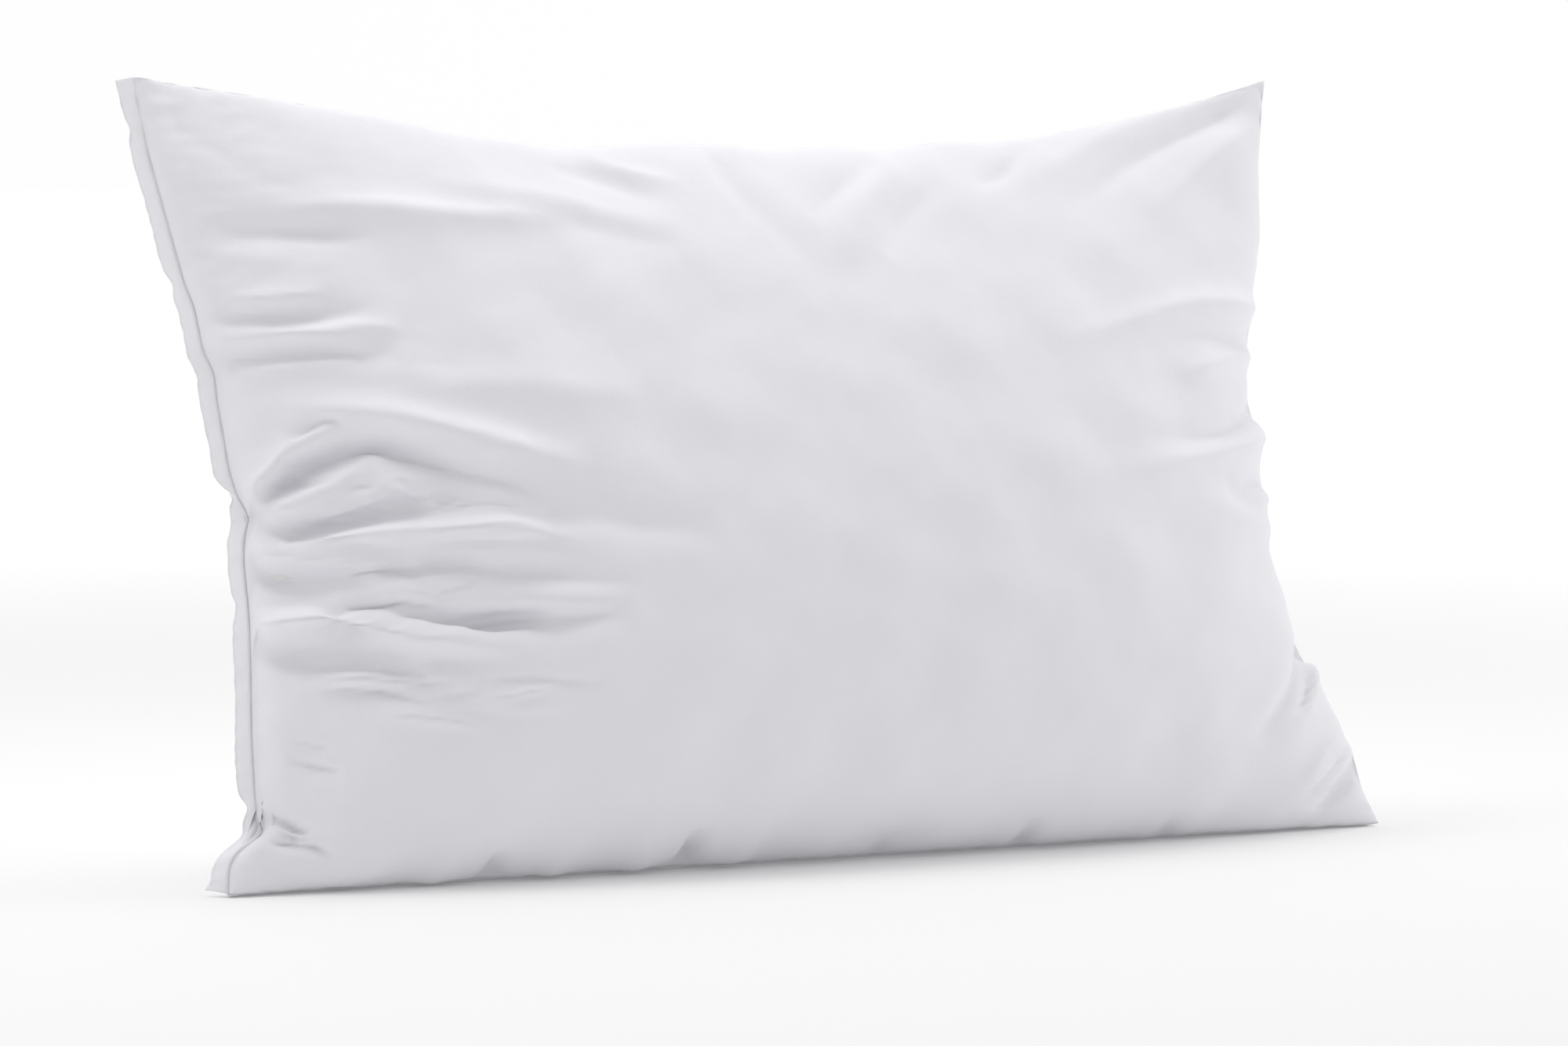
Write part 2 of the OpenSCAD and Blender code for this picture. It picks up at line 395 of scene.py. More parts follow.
def right_end_folds() -> list[Fold]:
    """Folds that run in from the overlocked seam at the right end."""
    both = Fade.BOTH
    return [
        fold([(345, 294), (270, 300), (225, 294), (150, 280)], 5.5, 10),
        fold([(345, 278), (275, 284), (215, 272)], -5, 8),
        fold([(345, 266), (290, 268), (240, 260)], 4, 7, both),
        fold([(345, 246), (310, 236), (270, 228), (200, 226)], -8, 7.5),
        fold([(345, 226), (305, 222), (250, 216), (180, 210)], 6.5, 10),
        fold([(330, 206), (300, 200), (262, 192)], -3.5, 6.5, both),
        fold([(330, 186), (296, 190), (268, 200)], 3.5, 7, both),
        fold([(325, 166), (280, 178), (230, 200)], 3.5, 14),
        fold([(346, 122), (318, 98), (296, 80), (262, 56)], -10, 7.5),
        fold([(350, 108), (322, 84), (300, 64), (270, 42)], 5, 10),
        fold([(356, 34), (330, 22), (285, 14)], -5, 6.5),
        fold([(354, 50), (326, 38), (285, 26)], 4, 8),
    ]


def right_end_creases() -> list[Fold]:
    """Small sharp creases of the corner flap at the lower right."""
    both = Fade.BOTH
    return [
        fold([(343, 122), (331, 108), (320, 96)], -8.5, 3.6, both, 0.5),
        fold([(346, 110), (334, 98), (322, 86)], 3, 4, both),
        fold([(324, 94), (312, 80), (298, 68)], -4.8, 3.6, both),
        fold([(352, 40), (334, 24), (312, 12)], -4.8, 4.2, both, 0.2),
        fold([(352, 54), (330, 38), (300, 18)], -3.6, 3.6, both),
        fold([(346, 62), (322, 48), (300, 30)], 2.6, 4, both),
        fold([(342, 250), (322, 240), (300, 234)], -3.6, 3.6, both),
        fold([(340, 200), (322, 194), (300, 196)], -2.6, 4, both),
    ]


def bottom_edge_folds() -> list[Fold]:
    """Tucks where the bottom seam is pressed against the floor."""
    return [
        fold([(-90, 0), (-94, 26)], -11, 7),
        fold([(-120, 0), (-125, 34)], 4, 14),
        fold([(-60, 0), (-62, 34)], 3.5, 14),
        fold([(-205, 0), (-209, 20)], -7.5, 7),
        fold([(-170, 0), (-172, 30)], 3.5, 14),
        fold([(-240, 0), (-236, 30)], 3.5, 14),
        fold([(120, 0), (118, 22)], -6, 7),
        fold([(215, 0), (210, 20)], -4.5, 7),
        fold([(30, 0), (28, 16)], -3.5, 6),
    ]


@dataclass
class Casing:
    """The sewn casing: one closed shell of two panels that share their seam line."""

    stance: Stance
    outline: Outline
    front: Fullness
    back: Fullness
    cells_long: int = 150
    cells_high: int = 100
    crowding: float = 0.0
    s: np.ndarray = field(default=None, repr=False)
    t: np.ndarray = field(default=None, repr=False)
    side: np.ndarray = field(default=None, repr=False)
    column: np.ndarray = field(default=None, repr=False)
    wide: float = 0.0
    high: float = 0.0

    def fullness(self, side: Side) -> Fullness:
        """The bulge of one panel."""
        return self.front if side is Side.FRONT else self.back

    def net(self, name: str) -> bpy.types.Object:
        """Sews two flat nets into one closed shell, and notes every vertex's place on its panel.

        Args:
            name: The name of the object.

        Returns:
            The shell, not yet shaped.
        """
        bm = bmesh.new()
        bmesh.ops.create_grid(bm, x_segments=self.cells_long, y_segments=self.cells_high, size=1)
        layers = [bm.verts.layers.float.new(n) for n in ("s", "t", "side")]
        for v in bm.verts:
            v[layers[0]], v[layers[1]] = self.crowd(v.co.x), v.co.y
            v.co.z = 0.1 * (1 - v.co.x**2) * (1 - v.co.y**2)
            v[layers[2]] = 1.0
        made = bmesh.ops.duplicate(bm, geom=bm.verts[:] + bm.edges[:] + bm.faces[:])["geom"]
        behind = [g for g in made if isinstance(g, bmesh.types.BMFace)]
        for v in (g for g in made if isinstance(g, bmesh.types.BMVert)):
            v.co.z *= -1
            v[layers[2]] = -1.0
        for f in behind:
            f.material_index = 1
        bmesh.ops.reverse_faces(bm, faces=behind)
        bmesh.ops.remove_doubles(bm, verts=bm.verts[:], dist=1e-6)
        mesh = bpy.data.meshes.new(name)
        bm.to_mesh(mesh)
        bm.free()
        self.column = get_points(mesh)[:, 0]
        self.s, self.t, self.side = (read_layer(mesh, n) for n in ("s", "t", "side"))
        rim = (np.abs(self.s) > 1 - 1e-6) | (np.abs(self.t) > 1 - 1e-6)
        self.side[rim] = 0.0
        return link(name, mesh)

    def crowd(self, u: np.ndarray) -> np.ndarray:
        """Crowds the net's columns towards the gathered left end."""
        return u + self.crowding * (u * u - 1)

    def grids(self) -> dict[Side, np.ndarray]:
        """For each panel, the vertex numbers of its net, row by row from the bottom."""
        i = np.round((self.column + 1) / 2 * self.cells_long).astype(int)
        j = np.round((self.t + 1) / 2 * self.cells_high).astype(int)
        nets = {}
        for side in Side:
            mine = np.nonzero(self.side != -side.value)[0]
            net = np.zeros((self.cells_high + 1, self.cells_long + 1), dtype=int)
            net[j[mine], i[mine]] = mine
            nets[side] = net
        return nets

    def refine(self, coarse: "Casing", points: np.ndarray) -> np.ndarray:
        """Reads a coarser casing's settled points at this casing's net.

        Args:
            coarse: The coarser casing.
            points: Its settled points.

        Returns:
            The points of this casing.
        """
        across = np.linspace(-1, 1, self.cells_long + 1)
        across = (self.crowd(across) + 1) / 2 * coarse.cells_long
        upward = np.linspace(0, coarse.cells_high, self.cells_high + 1)
        result = np.zeros((len(self.s), 3))
        mine = self.grids()
        for side, net in coarse.grids().items():
            rows = resample(points[net], upward)
            result[mine[side]] = resample(rows.transpose(1, 0, 2), across).transpose(1, 0, 2)
        return result

    def surface(self, side: Side, s: np.ndarray, t: np.ndarray) -> np.ndarray:
        """Points of one panel's smooth form, flattened by the floor."""
        along, up = self.outline.plane(s, t)
        points = self.stance.place(along, up, side.value * self.fullness(side).lift(s, t))
        points[..., 2] = np.maximum(points[..., 2], 0)
        return points

    def evened(self, side: Side) -> tuple[np.ndarray, np.ndarray, float, float]:
        """Net positions that lie evenly along the middle of a panel, with its two widths."""
        fine = np.sin(np.linspace(-1, 1, 4001) * np.pi / 2)
        zero = np.zeros_like(fine)
        ways = []
        for line in (self.surface(side, fine, zero), self.surface(side, zero, fine)):
            run = np.concatenate([[0], np.cumsum(np.linalg.norm(np.diff(line, axis=0), axis=1))])
            ways.append(run)
        s = np.interp(self.s, ways[0] / ways[0][-1] * 2 - 1, fine)
        t = np.interp(self.t, ways[1] / ways[1][-1] * 2 - 1, fine)
        return s, t, ways[0][-1], ways[1][-1]

    def shape(self) -> np.ndarray:
        """Works out the points of the stuffed form."""
        even = {side: self.evened(side) for side in Side}
        mean = [(even[Side.FRONT][k] + even[Side.BACK][k]) / 2 for k in range(4)]
        points = np.zeros((len(self.s), 3))
        for value, (s, t, _, _) in ((1, even[Side.FRONT]), (-1, even[Side.BACK]), (0, mean)):
            mine = self.side == value
            side = Side.BACK if value < 0 else Side.FRONT
            points[mine] = self.surface(side, s[mine], t[mine])
        self.wide, self.high = mean[2], mean[3]
        return points

    def fold_lift(self, folds: list[Fold], points: np.ndarray, normals: np.ndarray) -> np.ndarray:
        """The displacement of every point by folds, on the front panel.

        Args:
            folds: The folds.
            points: The casing's points.
            normals: Its outward directions.

        Returns:
            One displacement for each point.
        """
        lift = np.zeros(len(points))
        for fold in folds:
            lift += fold.lift(points[:, 0], points[:, 2])
        reach = 1 - np.maximum(np.abs(self.s), np.abs(self.t)) ** 30
        lift *= np.where(self.side > 0, reach, 0)
        return normals * lift[:, None]


def resample(rows: np.ndarray, at: np.ndarray) -> np.ndarray:
    """Reads rows of points at places between them, on a smooth curve.

    Args:
        rows: The rows.
        at: Places counted in rows.

    Returns:
        One row for each place.
    """
    last = len(rows) - 1
    low = np.clip(np.floor(at).astype(int), 0, last - 1)
    f = (at - low)[:, None, None]
    padded = np.concatenate([2 * rows[:1] - rows[1:2], rows, 2 * rows[-1:] - rows[-2:-1]])
    a, b, c, d = (padded[low + k] for k in range(4))
    slope = (c - a) * f + (2 * a - 5 * b + 4 * c - d) * f**2 + (3 * b - a - 3 * c + d) * f**3
    return b + slope / 2


def read_layer(mesh: bpy.types.Mesh, name: str) -> np.ndarray:
    """Reads a float attribute of the vertices."""
    values = np.empty(len(mesh.vertices), dtype=np.float32)
    mesh.attributes[name].data.foreach_get("value", values)
    return values.astype(float)


def normals_of(mesh: bpy.types.Mesh) -> np.ndarray:
    """Outward directions at all the vertices of a mesh."""
    normals = np.empty(len(mesh.vertices) * 3, dtype=np.float32)
    mesh.vertex_normals.foreach_get("vector", normals)
    return normals.reshape(-1, 3).astype(float)


def set_points(mesh: bpy.types.Mesh, points: np.ndarray) -> None:
    """Moves all the vertices of a mesh."""
    mesh.vertices.foreach_set("co", points.astype(np.float32).ravel())
    mesh.update()


def get_points(mesh: bpy.types.Mesh) -> np.ndarray:
    """Reads all the vertices of a mesh."""
    points = np.empty(len(mesh.vertices) * 3, dtype=np.float32)
    mesh.vertices.foreach_get("co", points)
    return points.reshape(-1, 3).astype(float)


@dataclass(frozen=True)
class Surplus:
    """How much longer the cloth is cut at a seam than the filling needs."""

    share: float
    reach: float

    def at(self, away: np.ndarray) -> np.ndarray:
        """The share at distances from the seam."""
        return self.share * np.exp(-away / self.reach)


@dataclass
class ClothOnFilling:
    """Settles the flat-cut cloth of both panels on the filling.

    The cloth keeps its lengths along and across the weave and on the bias, and resists
    bending. The filling pushes it out where it sinks in, and lets it lift into folds where it
    has more length than the filling needs. The seam line is held where the casing is sewn.
    """

    casing: Casing
    rounds: int = 420
    weave: float = 0.9
    bias: float = 0.25
    bending: float = 0.10
    push: float = 0.06
    pull: float = 0.003
    seam_hold: float = 0.35
    drag: float = 0.85
    form_hold: float = 0.002
    noise: float = 0.0001
    seed: int = 7
    left_surplus: Surplus = Surplus(0.03, 0.09)
    gather: Surplus = Surplus(0.11, 0.07)
    gather_middle: float = -0.12
    gather_height: float = 0.42
    right_surplus: Surplus = Surplus(0.035, 0.055)
    top_surplus: Surplus = Surplus(0.014, 0.035)
    bottom_surplus: Surplus = Surplus(0.032, 0.035)

    def surplus(self, side: Side) -> tuple[np.ndarray, np.ndarray]:
        """The cloth's surplus length along and up the panel, as shares.

        Args:
            side: The panel.

        Returns:
            The surplus along the pillow and the surplus up it, on the panel's net.
        """
        casing = self.casing
        s = np.linspace(-1, 1, casing.cells_long + 1)[None, :]
        t = np.linspace(-1, 1, casing.cells_high + 1)[:, None]
        from_left, from_right = ((1 + k * s) / 2 * casing.wide for k in (1, -1))
        from_bottom, from_top = ((1 + k * t) / 2 * casing.high for k in (1, -1))
        gathered = np.exp(-(((t - self.gather_middle) / self.gather_height) ** 2))
        up = self.left_surplus.at(from_left) + gathered * self.gather.at(from_left)
        up = up + self.right_surplus.at(from_right) * (1 - t**4)
        loose = 1 + 0.9 * np.sin(9 * s + 1) * np.sin(23 * s)
        along = loose * self.top_surplus.at(from_top) + self.bottom_surplus.at(from_bottom)
        return along + 0 * s, up + 0 * t

    def run(self, points: np.ndarray, normals: np.ndarray) -> np.ndarray:
        """Settles the cloth.

        Args:
            points: The stuffed form, with its folds.
            normals: Its outward directions.

        Returns:
            The settled points.
        """
        nets = self.casing.grids()
        rng = np.random.default_rng(self.seed)
        noise = self.noise * rng.standard_normal(len(points))
        settled = points + normals * noise[:, None]
        rim = self.casing.side == 0
        panels = []
        for side, net in nets.items():
            along, up = self.surplus(side)
            panels.append(Lattice(points[net], along, up))
        inward = 1 - np.maximum(np.abs(self.casing.s), np.abs(self.casing.t))
        free = np.clip(inward / 0.35, 0, 1)
        push = self.push * (0.35 + 0.65 * free)
        pull = self.pull * (0.25 + 0.75 * free)
        speed = np.zeros_like(points)
        for _ in range(self.rounds):
            before = settled.copy()
            settled += self.drag * speed
            shared = np.zeros_like(settled)
            for (side, net), panel in zip(nets.items(), panels):
                moved = panel.relaxed(settled[net], self.weave, self.bias, self.bending)
                inner = net[1:-1, 1:-1]
                settled[inner] = moved[1:-1, 1:-1]
                for part in (np.s_[0, :], np.s_[-1, :], np.s_[1:-1, 0], np.s_[1:-1, -1]):
                    shared[net[part]] += moved[part] / 2
            settled[rim] = shared[rim]
            away = ((settled - points) * normals).sum(1)
            stiff = np.where(away < 0, push, pull)
            settled -= (np.where(rim, 0, stiff) * away)[:, None] * normals
            settled[rim] += self.seam_hold * (points[rim] - settled[rim])
            settled += self.form_hold * (points - settled)
            settled[:, 2] = np.maximum(settled[:, 2], 0.0)
            speed = settled - before
        change = settled - points
        for net in nets.values():
            part = change[net]
            for _ in range(2):
                part[1:-1] = (part[:-2] + 2 * part[1:-1] + part[2:]) / 4
                part[:, 1:-1] = (part[:, :-2] + 2 * part[:, 1:-1] + part[:, 2:]) / 4
            change[net] = part
        return points + change


class Lattice:
    """The threads of one panel as springs between neighbours of its net."""

    def __init__(self, points: np.ndarray, along: np.ndarray, up: np.ndarray) -> None:
        """Takes the springs' lengths from the stuffed form and the cloth's surplus.

        Args:
            points: The panel's points, as rows of the net.
            along: The surplus along the pillow, at each point.
            up: The surplus up the pillow, at each point.
        """
        both = (along + up) / 2
        self.springs = []
        for dj, di, surplus, kind in (
            (0, 1, along, "weave"),
            (1, 0, up, "weave"),
            (1, 1, both, "bias"),
            (1, -1, both, "bias"),
            (0, 2, along, "bending"),
            (2, 0, up, "bending"),
        ):
            rows, cols = points.shape[:2]
            a = np.s_[0 : rows - dj, max(0, -di) : cols - max(0, di)]
            b = np.s_[dj:rows, max(0, di) : cols + min(0, di)]
            length = np.linalg.norm(points[b] - points[a], axis=-1)
            length = length * (1 + (surplus[a] + surplus[b]) / 2)
            step = max(abs(dj), abs(di))
            axis = 0 if dj else 1
            for phase in (0, 1):
                number = np.arange(length.shape[axis]) // step % 2 == phase
                pick = (number, slice(None)) if axis == 0 else (slice(None), number)
                self.springs.append((a, b, pick, length[pick], kind))

    def relaxed(self, points: np.ndarray, weave: float, bias: float, bending: float) -> np.ndarray:
        """One round of pulling every spring towards its length.

        Args:
            points: The panel's points, as rows of the net.
            weave: Stiffness of the threads.
            bias: Stiffness across the weave.
            bending: Stiffness against bending.

        Returns:
            The moved points.
        """
        stiffness = {"weave": weave, "bias": bias, "bending": bending}
        points = points.copy()
        for a, b, pick, length, kind in self.springs:
            start = points[a][pick]
            end = points[b][pick]
            way = end - start
            now = np.linalg.norm(way, axis=-1)
            change = (now - length) / np.maximum(now, 1e-9) * 0.5 * stiffness[kind]
            if kind == "bending":
                change = np.minimum(change, 0)
            move = way * change[..., None]
            at_a = points[a]
            at_a[pick] += move
            at_b = points[b]
            at_b[pick] -= move
        return points


def link(name: str, mesh: bpy.types.Mesh) -> bpy.types.Object:
    """Makes an object of a mesh and puts it in the scene."""
    obj = bpy.data.objects.new(name, mesh)
    bpy.context.scene.collection.objects.link(obj)
    return obj


def applied(obj: bpy.types.Object) -> bpy.types.Mesh:
    """The object's mesh with its modifiers applied."""
    graph = bpy.context.evaluated_depsgraph_get()
    return bpy.data.meshes.new_from_object(obj.evaluated_get(graph))


def smooth(obj: bpy.types.Object) -> None:
    """Shades all the faces of an object smooth."""
    obj.data.polygons.foreach_set("use_smooth", [True] * len(obj.data.polygons))


def waves(x: np.ndarray, y: np.ndarray, length: float, count: int, seed: int) -> np.ndarray:
    """A soft irregular pattern of about the given wavelength, from -1 to 1.

    Args:
        x: Places across, in metres.
        y: Places up, in metres.
        length: The mean wavelength.
        count: How many waves are added up.
        seed: The seed of their directions and phases.

    Returns:
        The pattern's value at each place.
    """
    rng = np.random.default_rng(seed)
    total = np.zeros_like(x)
    for _ in range(count):
        angle, phase = rng.uniform(0, 2 * np.pi, 2)
        rate = 2 * np.pi / (length * rng.uniform(0.7, 1.4))
        total += np.sin(rate * (x * np.cos(angle) + y * np.sin(angle)) + phase)
    return total / np.sqrt(count / 2) / 2


@dataclass(frozen=True)
class Wrinkles:
    """A soft irregular relief."""

    length: float
    height: float
    count: int
    seed: int

    def over(self, x: np.ndarray, y: np.ndarray) -> np.ndarray:
        """Its height at places of the panel."""
        return waves(x, y, self.length, self.count, self.seed) * self.height


class Value:
    """A number in a shader, written as a Python expression on sockets."""

    def __init__(self, maker: "NodeMaker", socket: bpy.types.NodeSocket) -> None:
        """Wraps an output socket."""
        self.maker = maker
        self.socket = socket

    def _math(self, operation: str, first: object, second: object = None) -> "Value":
        """Adds a Math node.

        Args:
            operation: The Math node's operation.
            first: Its first value.
            second: Its second value, if it has one.

        Returns:
            The node's output.
        """
        inputs = {0: first} if second is None else {0: first, 1: second}
        return self.maker.add("ShaderNodeMath", {"operation": operation}, inputs)

    def __add__(self, other: object) -> "Value":
        """Adds a value."""
        return self._math("ADD", self, other)

    def __mul__(self, other: object) -> "Value":
        """Multiplies by a value."""
        return self._math("MULTIPLY", self, other)

    def sine(self) -> "Value":
        """The sine."""
        return self._math("SINE", self)


class NodeMaker:
    """Adds the nodes of one material."""

    def __init__(self, material: bpy.types.Material) -> None:
        """Clears a material's nodes.

        Args:
            material: The material to build.
        """
        material.use_nodes = True
        self.tree = material.node_tree
        self.tree.nodes.clear()

    def add(self, kind: str, settings: dict, inputs: dict, output: object = 0) -> Value:
        """Adds a node.

        Args:
            kind: The node's type.
            settings: Its settings, set first.
            inputs: The values or links of its sockets, by name or number.
            output: The name or number of the output that is wanted.

        Returns:
            The wanted output.
        """
        node = self.tree.nodes.new(kind)
        for name, value in settings.items():
            setattr(node, name, value)
        for name, value in inputs.items():
            if isinstance(value, Value):
                self.tree.links.new(value.socket, node.inputs[name])
            else:
                node.inputs[name].default_value = value
        return Value(self, node.outputs[output])

    def noise(self, place: Value, scale: float, **more: float) -> Value:
        """A noise texture's level."""
        return self.add("ShaderNodeTexNoise", {}, {"Vector": place, "Scale": scale, **more})

    def blend(self, share: Value, shade: tuple, light: tuple) -> Value:
        """A colour between two."""
        inputs = {"Factor": share, "A": shade, "B": light}
        return self.add("ShaderNodeMix", {"data_type": "RGBA"}, inputs, "Result")

    def bump(self, height: Value, distance: float, **more: object) -> Value:
        """The surface's direction over a relief."""
        inputs = {"Height": height, "Distance": distance, **more}
        return self.add("ShaderNodeBump", {}, inputs)

    def finish(self, inputs: dict) -> None:
        """Adds the surface shader and the output.

        Args:
            inputs: The values or links of the shader's sockets.
        """
        shader = self.add("ShaderNodeBsdfPrincipled", {}, inputs)
        end = self.tree.nodes.new("ShaderNodeOutputMaterial")
        self.tree.links.new(shader.socket, end.inputs["Surface"])


@dataclass(frozen=True)
class Percale:
    """Close-woven white cotton, with fine threads, slubs and a faint sheen."""

    name: str = "white_percale"
    light: tuple = (0.895, 0.890, 0.925, 1.0)
    shade: tuple = (0.860, 0.856, 0.893, 1.0)
    thread_pitch: float = 0.00055
    slub_length: float = 0.012
    crinkle: float = 0.007
    cloud: float = 1 / 14
    crinkle_depth: float = 0.0004
    weave_depth: float = 0.00012

    def material(self) -> bpy.types.Material:
        """Builds the material."""
        material = bpy.data.materials.new(self.name)
        make = NodeMaker(material)
        cut = make.add("ShaderNodeUVMap", {"uv_map": "cut"}, {})
        along = make.add("ShaderNodeSeparateXYZ", {}, {0: cut}, "X")
        up = make.add("ShaderNodeSeparateXYZ", {}, {0: cut}, "Y")
        rate = 2 * math.pi / self.thread_pitch
        weave = (along * rate).sine() * (up * rate).sine()
        across, lengthwise = 1 / self.thread_pitch / 2, 1 / self.slub_length
        slubs = []
        for scale in ((lengthwise, across, 1.0), (across, lengthwise, 1.0)):
            drawn = make.add("ShaderNodeMapping", {}, {"Vector": cut, "Scale": scale})
            slubs.append(make.noise(drawn, 1.0, Detail=2.0))
        slub = (slubs[0] + slubs[1]) * 0.5
        crinkles = make.noise(cut, 1 / self.crinkle, Detail=4.0)
        clouds = make.noise(cut, 1 / self.cloud, Detail=3.0)
        colour = make.blend(clouds * 0.6 + slub * 0.4, self.shade, self.light)
        low = make.bump(crinkles, self.crinkle_depth, Strength=0.5)
        fine = make.bump(weave * 0.3 + slub, self.weave_depth, Strength=0.5, Normal=low)
        make.finish(
            {
                "Base Color": colour,
                "Roughness": slub * 0.12 + 0.78,
                "Specular IOR Level": 0.25,
                "Sheen Weight": 0.18,
                "Sheen Roughness": 0.45,
                "Normal": fine,
            }
        )
        return material


@dataclass(frozen=True)
class SpunThread:
    """White polyester sewing thread, with its twist."""

    name: str = "spun_thread"
    light: tuple = (0.93, 0.93, 0.94, 1.0)
    shade: tuple = (0.86, 0.86, 0.88, 1.0)
    twist: float = 0.0008
    relief: float = 0.0001

    def material(self) -> bpy.types.Material:
        """Builds the material."""
        material = bpy.data.materials.new(self.name)
        make = NodeMaker(material)
        place = make.add("ShaderNodeTexCoord", {}, {}, "Object")
        parts = [make.add("ShaderNodeSeparateXYZ", {}, {0: place}, n) for n in "XYZ"]
        turns = (parts[0] + parts[1] + parts[2]) * (2 * math.pi / self.twist)
        twist = turns.sine() * 0.5 + 0.5
        colour = make.blend(twist, self.shade, self.light)
        bump = make.bump(twist, self.relief)
        make.finish(
            {"Base Color": colour, "Roughness": 0.5, "Sheen Weight": 0.2, "Normal": bump}
        )
        return material


@dataclass(frozen=True)
class HollowFibre:
    """Clumps of white polyester fibre."""

    name: str = "hollow_fibre"
    light: tuple = (0.93, 0.93, 0.92, 1.0)
    shade: tuple = (0.80, 0.80, 0.79, 1.0)
    clump: float = 0.02
    relief: float = 0.004

    def material(self) -> bpy.types.Material:
        """Builds the material."""
        material = bpy.data.materials.new(self.name)
        make = NodeMaker(material)
        place = make.add("ShaderNodeTexCoord", {}, {}, "Object")
        clumps = make.noise(place, 1 / self.clump, Detail=6.0, Distortion=1.5)
        colour = make.blend(clumps, self.shade, self.light)
        bump = make.bump(clumps, self.relief)
        make.finish(
            {"Base Color": colour, "Roughness": 0.95, "Sheen Weight": 0.4, "Normal": bump}
        )
        return material


@dataclass(frozen=True)
class PaleFloorPaintedGlow:
    """Plain pale floor with a painted glow, faint near the pillow and stronger away from it."""

    name: str = "pale_floor_painted_glow"
    colour: tuple = (0.80, 0.80, 0.80, 1.0)
    # Strengths of the painted glow near the pillow and far from it.
    near_glow: float = 0.10
    far_glow: float = 0.42
    near: float = 0.9
    far: float = 3.2

    def material(self) -> bpy.types.Material:
        """Builds the material."""
        material = bpy.data.materials.new(self.name)
        make = NodeMaker(material)
        place = make.add("ShaderNodeTexCoord", {}, {}, "Object")
        away = make.add("ShaderNodeVectorMath", {"operation": "LENGTH"}, {0: place}, "Value")
        # Painted glow: the floor's own emission rises smoothly with distance from the middle of
        # the floor.
        glow = make.add(
            "ShaderNodeMapRange",
            {"interpolation_type": "SMOOTHSTEP"},
            {0: away, 1: self.near, 2: self.far, 3: self.near_glow, 4: self.far_glow},
        )
        make.finish(
            {
                "Base Color": self.colour,
                "Roughness": 0.9,
                "Emission Color": glow,
                "Emission Strength": 1.0,
            }
        )
        return material


@dataclass
class Hem:
    """The closed left end: both panels' edges turned in, and sewn through near their folds."""

    width: float = 0.0095
    puff: float = 0.0016
    steps: int = 5
    turn_back: float = math.radians(46)
    pucker: float = 0.0007
    slow_pucker: float = 0.0005
    floor_gap: float = 0.0012
    tuck: float = 0.006
    tucks: tuple[tuple[float, float], ...] = (
        (0.400, 0.2), (0.318, 0.35), (0.206, 0.75), (0.148, 0.3), (0.045, 0.5),
    )

    def flare(self, z: float) -> float:
        """How wide the hem stands at a height, as a share of its width."""
        wave = 1 + 0.05 * math.sin(z * 41 + 1) + 0.03 * math.sin(z * 103)
        for height, depth in self.tucks:
            wave -= depth * self.near(z, height)
        return wave + 0.5 * self.near(z, 0)

    def near(self, z: float, height: float) -> float:
        """How near a height is to a tuck, from 1 down to 0."""
        return math.exp(-(((z - height) / self.tuck) ** 2))

    def way(self, z: np.ndarray, stance: Stance) -> np.ndarray:
        """The directions that the hem stands out in, at heights above the floor."""
        turn = self.turn_back * (1 + 0.14 * np.sin(z * 37 + 2) + 0.08 * np.sin(z * 89))
        back = -np.sin(turn)
        return np.stack(
            [-np.cos(turn), -math.cos(stance.lean) * back, math.sin(stance.lean) * back], -1
        )

    def extend(self, bm: bmesh.types.BMesh, side: Side, stance: Stance) -> None:
        """Adds the hem outside the stitch line of one panel.

        Args:
            bm: The panel's mesh.
            side: Which panel it is.
            stance: How the seam plane stands.
        """
        s, t, run = (bm.verts.layers.float[name] for name in ("s", "t", "hem"))
        out = Vector(stance.out)
        edges = [e for e in bm.edges if e.is_boundary and all(v[s] < -1 + 1e-5 for v in e.verts)]
        puffs = [math.sin(math.pi * k / self.steps) ** 1.3 for k in range(self.steps)] + [0.1]
        puff = self.puff if side is Side.BACK else self.puff * 0.35
        for number in range(1, self.steps + 1):
            made = bmesh.ops.extrude_edge_only(bm, edges=edges)["geom"]
            fresh = {g for g in made if isinstance(g, bmesh.types.BMVert)}
            edges = [g for g in made if isinstance(g, bmesh.types.BMEdge)]
            edges = [e for e in edges if all(v in fresh for v in e.verts)]
            for v in fresh:
                v[run] = number / self.steps
                z = v.co.z
                pinch = 1 - abs(v[t]) ** 24
                lift = (puffs[number] - puffs[number - 1]) * puff * pinch * side.value
                pucker = self.pucker * math.sin(z * 620 + 2 * math.sin(z * 90))
                pucker += self.slow_pucker * math.sin(z * 330)
                lift += pucker * pinch / self.steps * (1 if number < self.steps else -1)
                way = Vector(self.way(np.array(z), stance))
                v.co += way * (self.width / self.steps * self.flare(z)) + out * lift
                v.co.z = max(v.co.z + self.floor_gap * self.near(z, 0), 0.0)


